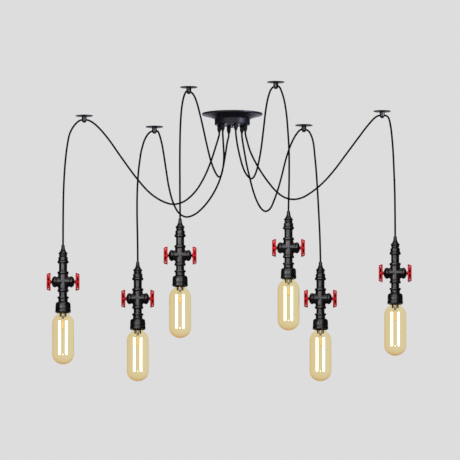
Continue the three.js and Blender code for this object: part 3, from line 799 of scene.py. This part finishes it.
RUN_OUTLINE = (
    (0, 0), (3.6, 0, 0.5), (4.7, -1.4, 1), (5.2, -9.5, 6), (6.4, -13.8, 4), (7.9, -17.6, 4),
    (10.2, -20.6, 2), (12.9, -23.2, 1.5), (13.2, -25.4, 1), (11, -27.2, 0.8), (10.8, -28, 0.5),
    (11.9, -29, 0.7), (11.9, -31, 0.7), (10.4, -32.2, 0.7), (10.6, -33.4, 0.7), (12.9, -34.8, 1),
    (13.5, -36.6, 1.2), (13.5, -45, 0.5), (15.2, -46.2, 1), (16.1, -48, 0.8), (16.1, -51.6, 1),
    (14.2, -53.2, 0.8), (11.6, -54.2, 0.5), (11.6, -75.6, 0.5), (12.6, -76.2, 0.6), (15.6, -77, 0.8),
    (16, -78.4, 0.8), (16, -82.6, 0.9), (14.2, -84.6, 0.8), (14, -86, 0.5), (14.2, -87, 0.6),
)
RUN_RING_POINTS = 9
RUN_BORE = ((11.6, -159.8), (7.2, -159.8), (7.2, -54), (0, -54))
RUN_RADIUS = 14.2
ARM_OUTLINE = (
    (0, 0), (14.2, 0), (14, 18.3, 2), (15.5, 20.6, 1.6), (16, 23, 2), (15.9, 25.6, 2), (14.4, 28, 2),
    (10.9, 30.6, 2), (6.4, 32.3, 1.5), (2.8, 32.9, 0.4), (2.8, 41.2, 0.1), (4.6, 41.2, 0.4),
    (4.6, 42.8, 0.7), (3.6, 43.9, 0.6), (0, 43.9),
)
WEDGE_RADIUS = 3.5
WEDGE_OVERLAP = 0.5
WEDGE_REACH = 88
WEDGE_SECTIONS = 28
WEDGE_STEPS = 6


def run_outline():
    """The run down to the cross, the cross's rings again below it, and the last nipple with the bore."""
    rings = RUN_OUTLINE[-RUN_RING_POINTS:]
    below = [(radius, -2 * CROSS_DEPTH - height, *size) for radius, height, *size in reversed(rings)]
    return fillet([*RUN_OUTLINE, *below, *RUN_BORE])


def cross_wedge(across, upward):
    """The rounded inner corner where an arm leaves the run, as a ball rolling along both leaves it."""
    ball = RUN_RADIUS + WEDGE_RADIUS
    vertices = []
    for section in range(WEDGE_SECTIONS + 1):
        turn = math.radians(-WEDGE_REACH + 2 * WEDGE_REACH * section / WEDGE_SECTIONS)
        cosine, sine = math.cos(turn), math.sin(turn)
        centre = Vector((ball * cosine, ball * sine, ball * cosine))
        to_run = Vector((-cosine, -sine, 0))
        to_arm = Vector((0, -sine, -cosine))
        ring = [(RUN_RADIUS - WEDGE_OVERLAP) * Vector((cosine, sine, cosine))]
        for step in range(WEDGE_STEPS + 1):
            ring.append(centre + to_run.slerp(to_arm, step / WEDGE_STEPS) * WEDGE_RADIUS)
        vertices += [(point.x * across * MM, point.y * MM, point.z * upward * MM) for point in ring]
    return vertices, skin(WEDGE_SECTIONS + 1, WEDGE_STEPS + 2)


def make_pipework(arm, material):
    centre = Matrix.Translation((0, 0, -CROSS_DEPTH * MM))
    parts = [lathe(run_outline(), segments=48)]
    for side in (-1, 1):
        aside = centre @ Matrix.Rotation(side * math.pi / 2, 4, "Y")
        parts.append(moved(lathe(fillet(ARM_OUTLINE), segments=40), aside))
        for upward in (-1, 1):
            parts.append(moved(cross_wedge(side, upward), centre))
    part = moved(join(*parts), shift(pendant_place(arm)))
    pipework = link_mesh(f"pipe_fittings_{arm}", part, material)
    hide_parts(f"pendant_{arm}_pipework")


# Handwheels

# Each rim's middle radius, its first height, and its sizes across and along the axis
WIDE_RIM = (23.3, 35.6, 4.6, 4.6)
NARROW_RIM = (20.5, 43.8, 4.2, 3.1)
RIM_ROUNDING = 0.48

# Each level of a post is its radius and height, and so is each end of a spoke
WHEEL_POSTS = 8
POST_WIDTH = 6.2
POST_DEPTH = 4.4
POST_LEVELS = ((23.1, 39.4), (22.4, 41.0), (21.4, 43.6), (20.8, 45.2))
POST_SIDES = 16

WHEEL_SPOKES = 4
SPOKE_ROOT = (3.5, 37.4)
SPOKE_TIP = (22, 38.2)
SPOKE_RADIUS = 2.0

HUB_OUTLINE = (
    (3.0, 33.6), (5.6, 33.6, 0.6), (5.9, 36, 1), (6.3, 37.5, 1), (6.1, 39.6, 1), (5, 40.9, 0.6), (3.0, 40.9),
    (3.0, 33.6),
)
# The boss behind the wheel's windows, a near black red part put there as painted shade for the wheel's
# shaded inside
BOSS_OUTLINE = (
    (3.1, 38.6), (8, 38.6, 1), (13, 40.8, 0.8), (13, 43.2, 0.7), (11.8, 43.9, 0.5), (5.6, 43.9, 0.4),
    (5.1, 43.2, 0.3), (5.1, 41.0), (3.1, 41.0), (3.1, 38.6),
)

# The turn of the first post and spoke, and that of the whole wheel at rest
WHEEL_PHASE = math.radians(-90)
WHEEL_TURN = math.radians(7.5)


def hoop(middle, start, radial, axial):
    """A rounded rectangular hoop about Z, closed on itself, in millimetres."""
    inner, outer, end = middle - radial / 2, middle + radial / 2, start + axial
    corner = min(radial, axial) * RIM_ROUNDING
    outline = fillet([
        (middle, start), (outer, start, corner), (outer, end, corner),
        (inner, end, corner), (inner, start, corner), (middle, start),
    ], steps=4)
    return lathe(outline, segments=64)


def wheel_post():
    """A broad post between the two rims, an ellipse in section, standing on the X axis."""
    vertices = []
    for radius, height in POST_LEVELS:
        for turn in turns(POST_SIDES):
            swing = POST_WIDTH / 2 * math.sin(turn) / radius
            reach = radius + POST_DEPTH / 2 * math.cos(turn)
            vertices.append((reach * math.cos(swing) * MM, reach * math.sin(swing) * MM, height * MM))
    return vertices, skin(len(POST_LEVELS), POST_SIDES)


def make_wheel_part():
    """A handwheel about Z: a wide rim, a narrow rim outside it on posts, and spokes to its hub."""
    parts = [hoop(*WIDE_RIM), hoop(*NARROW_RIM)]
    for turn in turns(WHEEL_POSTS):
        parts.append(moved(wheel_post(), Matrix.Rotation(WHEEL_PHASE + turn, 4, "Z")))
    for turn in turns(WHEEL_SPOKES):
        along, aside = math.cos(WHEEL_PHASE + turn), math.sin(WHEEL_PHASE + turn)
        root, tip = (Vector((radius * along, radius * aside, height)) * MM
                     for radius, height in (SPOKE_ROOT, SPOKE_TIP))
        parts.append(rod(root, tip, SPOKE_RADIUS * MM, sides=12))
    parts.append(lathe(fillet(HUB_OUTLINE), segments=32))
    return join(*parts)


def make_wheel(arm, side, part, material, boss_shade_finish):
    """A handwheel and the dark boss behind its windows, put there as painted shade for the wheel's inside,
    both on the wheel's own body.
    """
    sign = 1 if side == "right" else -1
    centre = pendant_place(arm) - Vector((0, 0, CROSS_DEPTH))
    node = f"pendant_{arm}_wheel_{side}"
    facing = shift(centre) @ Matrix.Rotation(sign * math.pi / 2, 4, "Y")
    turned = facing @ Matrix.Rotation(sign * WHEEL_TURN, 4, "Z")
    wheel = link_mesh(f"handwheel_{arm}_{side}", moved(part, turned), material, body=node)
    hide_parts(node)
    ring = moved(lathe(fillet(BOSS_OUTLINE), segments=40), facing)
    boss = link_mesh(f"wheel_shade_boss_{arm}_{side}", ring, boss_shade_finish, body=node)


# Lamp holders and bulbs

SOCKET_DEPTH = 149.9
SOCKET_OUTLINE = (
    (11.8, 1), (15.8, 1, 0.6), (16.3, 0, 0.5), (16.3, -3.6, 0.6), (13.6, -4.9, 0.6), (13.3, -12.8, 0.8),
    (15.2, -14, 1.0), (19.2, -15.8, 1.8), (20.9, -18.6, 2), (21.4, -24, 4), (21.8, -33.2, 0.4),
    (21.0, -34.0, 0.3), (21.8, -34.8, 0.4), (22.4, -43, 0.7), (21.4, -44.8, 1), (19.3, -44.8, 0.5),
    (19.3, -42.9, 0.3), (14.2, -42.9, 0.3), (14.2, -16.4), (5, -16.4), (5, -12.1), (11.8, -12.1), (11.8, 1),
)

# The shoulder and the straight wall are given from this depth, all else of the bulb from the pendant's top
NECK_DEPTH = 196.2
GLASS_SHOULDER = ((14, 3.4), (14, -1.5, 2), (17.5, -4.5, 3), (24, -10.5, 8), (29, -18.5, 8), (31, -27, 10))
GLASS_RADIUS = 31.2
GLASS_WALL = 1.0
GLASS_STRAIGHT = -40
DOME_START = -313.8
DOME_DEPTH = 29.1
DOME_THICKENING = 3.5
DOME_STEPS = 16

CAP_START = ((0, -167.4), (6, -167.6, 0.5), (12.3, -169.5, 1))
CAP_END = ((13, -191.5, 0.5), (0, -191.8))
THREAD_START = -171.5
THREAD_PITCH = 3.2
THREAD_TURNS = 6
THREAD_CREST = 13.1
THREAD_ROOT = 12.1
THREAD_ROUNDING = 0.9

STEM_TOP = -192.2
STEM_OUTLINE = (
    (0, STEM_TOP), (4.4, STEM_TOP, 0.5), (4.6, -204.6, 0.8), (4.2, -206.4, 0.6), (3.2, -209.6, 0.8),
    (2.4, -211.8, 0.6), (0, -212.2),
)
FLANGE_OUTLINE = (
    (0, STEM_TOP + 2.4), (10, STEM_TOP + 2.4, 0.4), (10, STEM_TOP, 0.4), (0, STEM_TOP),
)

# The dark supports beside the stem are painted shade for the stem's dark sides
# Each level of a support is its height and its share of the full section
STEM_POST_CENTRE = 7.6
STEM_POST_CORNERS = ((-2.2, -3.2), (2.2, -3.2), (2.2, 3.2), (-2.2, 3.2))
STEM_POST_LEVELS = ((STEM_TOP, 1.0), (-205.2, 1.0), (-206.4, 0.6))

ROD_OUTLINE = (
    (0, -219.6), (1.9, -219.6, 0.4), (1.9, -237, 1), (2.6, -239.4, 1), (2.6, -241.6, 1), (0, -242.4),
)

# Each bundle's middle across, and how far its filaments stand from the middle
FILAMENT_BUNDLES = ((-9.8, 2.6), (9.3, 2.5))
BUNDLE_COUNT = 5
FILAMENT_RADIUS = 0.9
FILAMENT_TOP = -217.2
FILAMENT_END = -315.2
LEAD_RADIUS = 0.8
LEAD_ASIDE = 2.6
LEAD_TOP = -211.0
LEAD_END = -216.8
LEAD_SAG = Vector((0, 0, 2 * MM))
LINK_RADIUS = 0.5
LINK_HEIGHT = -314.6
BEAD_RADIUS = 1.5
BEAD_HALF = Vector((1.6 * MM, 0, 0))


def make_socket(arm, material):
    place = shift(pendant_place(arm) - Vector((0, 0, SOCKET_DEPTH)))
    part = moved(lathe(fillet(SOCKET_OUTLINE), segments=56), place)
    holder = link_mesh(f"lamp_holder_{arm}", part, material)
    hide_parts(f"pendant_{arm}_socket")


def glass_outline(offset):
    """The bulb's outline from its neck to the tip of its dome, at an offset inside its outer face."""
    shoulder = [(radius - offset, height - NECK_DEPTH, *size) for radius, height, *size in GLASS_SHOULDER]
    tube_radius = GLASS_RADIUS - offset
    dome_depth = DOME_DEPTH - offset * DOME_THICKENING
    outline = fillet([*shoulder, (tube_radius, GLASS_STRAIGHT - NECK_DEPTH)], steps=6)
    for step in range(DOME_STEPS):
        turn = step / DOME_STEPS * math.pi / 2
        outline.append((tube_radius * math.cos(turn), DOME_START - dome_depth * math.sin(turn)))
    outline.append((0, DOME_START - dome_depth))
    return outline


def make_bulb(arm, glass, core_finishes):
    place = shift(pendant_place(arm))
    outline = [*glass_outline(0), *reversed(glass_outline(GLASS_WALL))]
    part = moved(lathe([*outline, outline[0]], segments=64), place)
    envelope = link_mesh(f"bulb_envelope_{arm}", part, glass)
    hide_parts(f"pendant_{arm}_bulb_glass")
    cap_metal, pressed_glass, dark, wire, glow = core_finishes
    make_bulb_cap(arm, place, cap_metal)
    make_stem(arm, place, pressed_glass, dark, wire)
    make_filaments(arm, place, wire, glow)


def make_bulb_cap(arm, place, material):
    outline = [*CAP_START]
    for turn in range(THREAD_TURNS):
        height = THREAD_START - turn * THREAD_PITCH
        outline.append((THREAD_CREST, height, THREAD_ROUNDING))
        outline.append((THREAD_ROOT, height - THREAD_PITCH / 2, THREAD_ROUNDING))
    outline = fillet([*outline, *CAP_END], steps=3)
    part = moved(lathe(outline, segments=40), place)
    cap = link_mesh(f"bulb_cap_{arm}", part, material)
    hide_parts(f"pendant_{arm}_bulb_core")


def stem_post(side):
    """A dark support beside the stem, a slim block with a drawn-in lower end, put there as painted shade for
    the stem's dark sides.
    """
    vertices = []
    for height, share in STEM_POST_LEVELS:
        for x, y in STEM_POST_CORNERS:
            vertices.append(((side * STEM_POST_CENTRE + x * share) * MM, y * share * MM, height * MM))
    return vertices, skin(len(STEM_POST_LEVELS), len(STEM_POST_CORNERS))


def make_stem(arm, place, pressed_glass, dark, wire):
    core = moved(lathe(fillet(STEM_OUTLINE), segments=32), place)
    stem = link_mesh(f"bulb_stem_{arm}", core, pressed_glass)
    # Two dark supports beside the light core: painted shade for the stem's dark sides
    supports = join(lathe(fillet(FLANGE_OUTLINE), segments=32), stem_post(-1), stem_post(1))
    posts = link_mesh(f"bulb_posts_{arm}", moved(supports, place), dark)
    button_rod = moved(lathe(fillet(ROD_OUTLINE), segments=16), place)
    button = link_mesh(f"bulb_rod_{arm}", button_rod, wire)


def make_filaments(arm, place, wire, glow):
    """Two bundles of upright filaments, the lead wires above them and the link between them below."""
    legs, leads = [], []
    for centre, spread in FILAMENT_BUNDLES:
        for turn in turns(BUNDLE_COUNT):
            x = centre + spread * math.cos(turn + math.pi / 2)
            y = spread * math.sin(turn + math.pi / 2)
            top = Vector((x, y, FILAMENT_TOP)) * MM
            end = Vector((x, y, FILAMENT_END)) * MM
            legs.append(rod(top, end, FILAMENT_RADIUS * MM, sides=8))
        inner = Vector((math.copysign(LEAD_ASIDE, centre), 0, LEAD_TOP)) * MM
        outer = Vector((centre, 0, LEAD_END)) * MM
        leads.append(tube([inner, (inner + outer) / 2 - LEAD_SAG, outer], LEAD_RADIUS * MM, sides=8))
    left, right = (Vector((centre, 0, LINK_HEIGHT)) * MM for centre, _ in FILAMENT_BUNDLES)
    leads.append(rod(left, right, LINK_RADIUS * MM, sides=8))
    middle = (left + right) / 2
    legs.append(rod(middle - BEAD_HALF, middle + BEAD_HALF, BEAD_RADIUS * MM, sides=10))
    filaments = link_mesh(f"bulb_filaments_{arm}", moved(join(*legs), place), glow)
    lead_wires = link_mesh(f"bulb_leads_{arm}", moved(join(*leads), place), wire)


# Assembly

def dress_inner_nodes():
    """Gives the solids inside the canopy, which stay as they are, their metal and plastic."""
    plain = steel("zinc_steel", (0.6, 0.61, 0.63), 0.35)
    finishes = {"ceiling_bracket": plain, "canopy_nut": plain, "terminal_block": terminal_plastic()}
    for name, material in finishes.items():
        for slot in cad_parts[name].material_slots:
            slot.material = material


def main():
    make_camera()
    make_world()
    make_floor()
    make_lights()
    black = pipe_black()
    nylon = grip_nylon()
    matt = matt_black("plate_black", (0.01, 0.01, 0.011))
    textile = cord_textile()
    red = red_enamel()
    # A near black red that stands in for the wheel's inside in shade: painted shade
    boss_painted_shade = matt_black("boss_painted_shade", (0.012, 0.002, 0.002))
    glass = amber_glass()
    core = (
        steel("cap_nickel", (0.72, 0.68, 0.6), 0.3),
        steel("stem_nickel", (0.42, 0.41, 0.42), 0.3),
        # Near black supports beside the stem: painted shade for its dark sides
        steel("post_painted_shade", (0.045, 0.042, 0.04), 0.4),
        steel("lead_wire", (0.75, 0.5, 0.16), 0.3),
        glowing_filament(),
    )
    make_canopy(canopy_paint())
    wheel_part = make_wheel_part()
    for arm in ARMS:
        make_cord(arm, textile)
        make_gland(arm, nylon)
        make_hook(arm, black, matt)
        make_pipework(arm, black)
        for side in SIDES:
            make_wheel(arm, side, wheel_part, red, boss_painted_shade)
        make_socket(arm, black)
        make_bulb(arm, glass, core)
    dress_inner_nodes()
    bpy.context.scene.view_settings.view_transform = "Standard"


main()
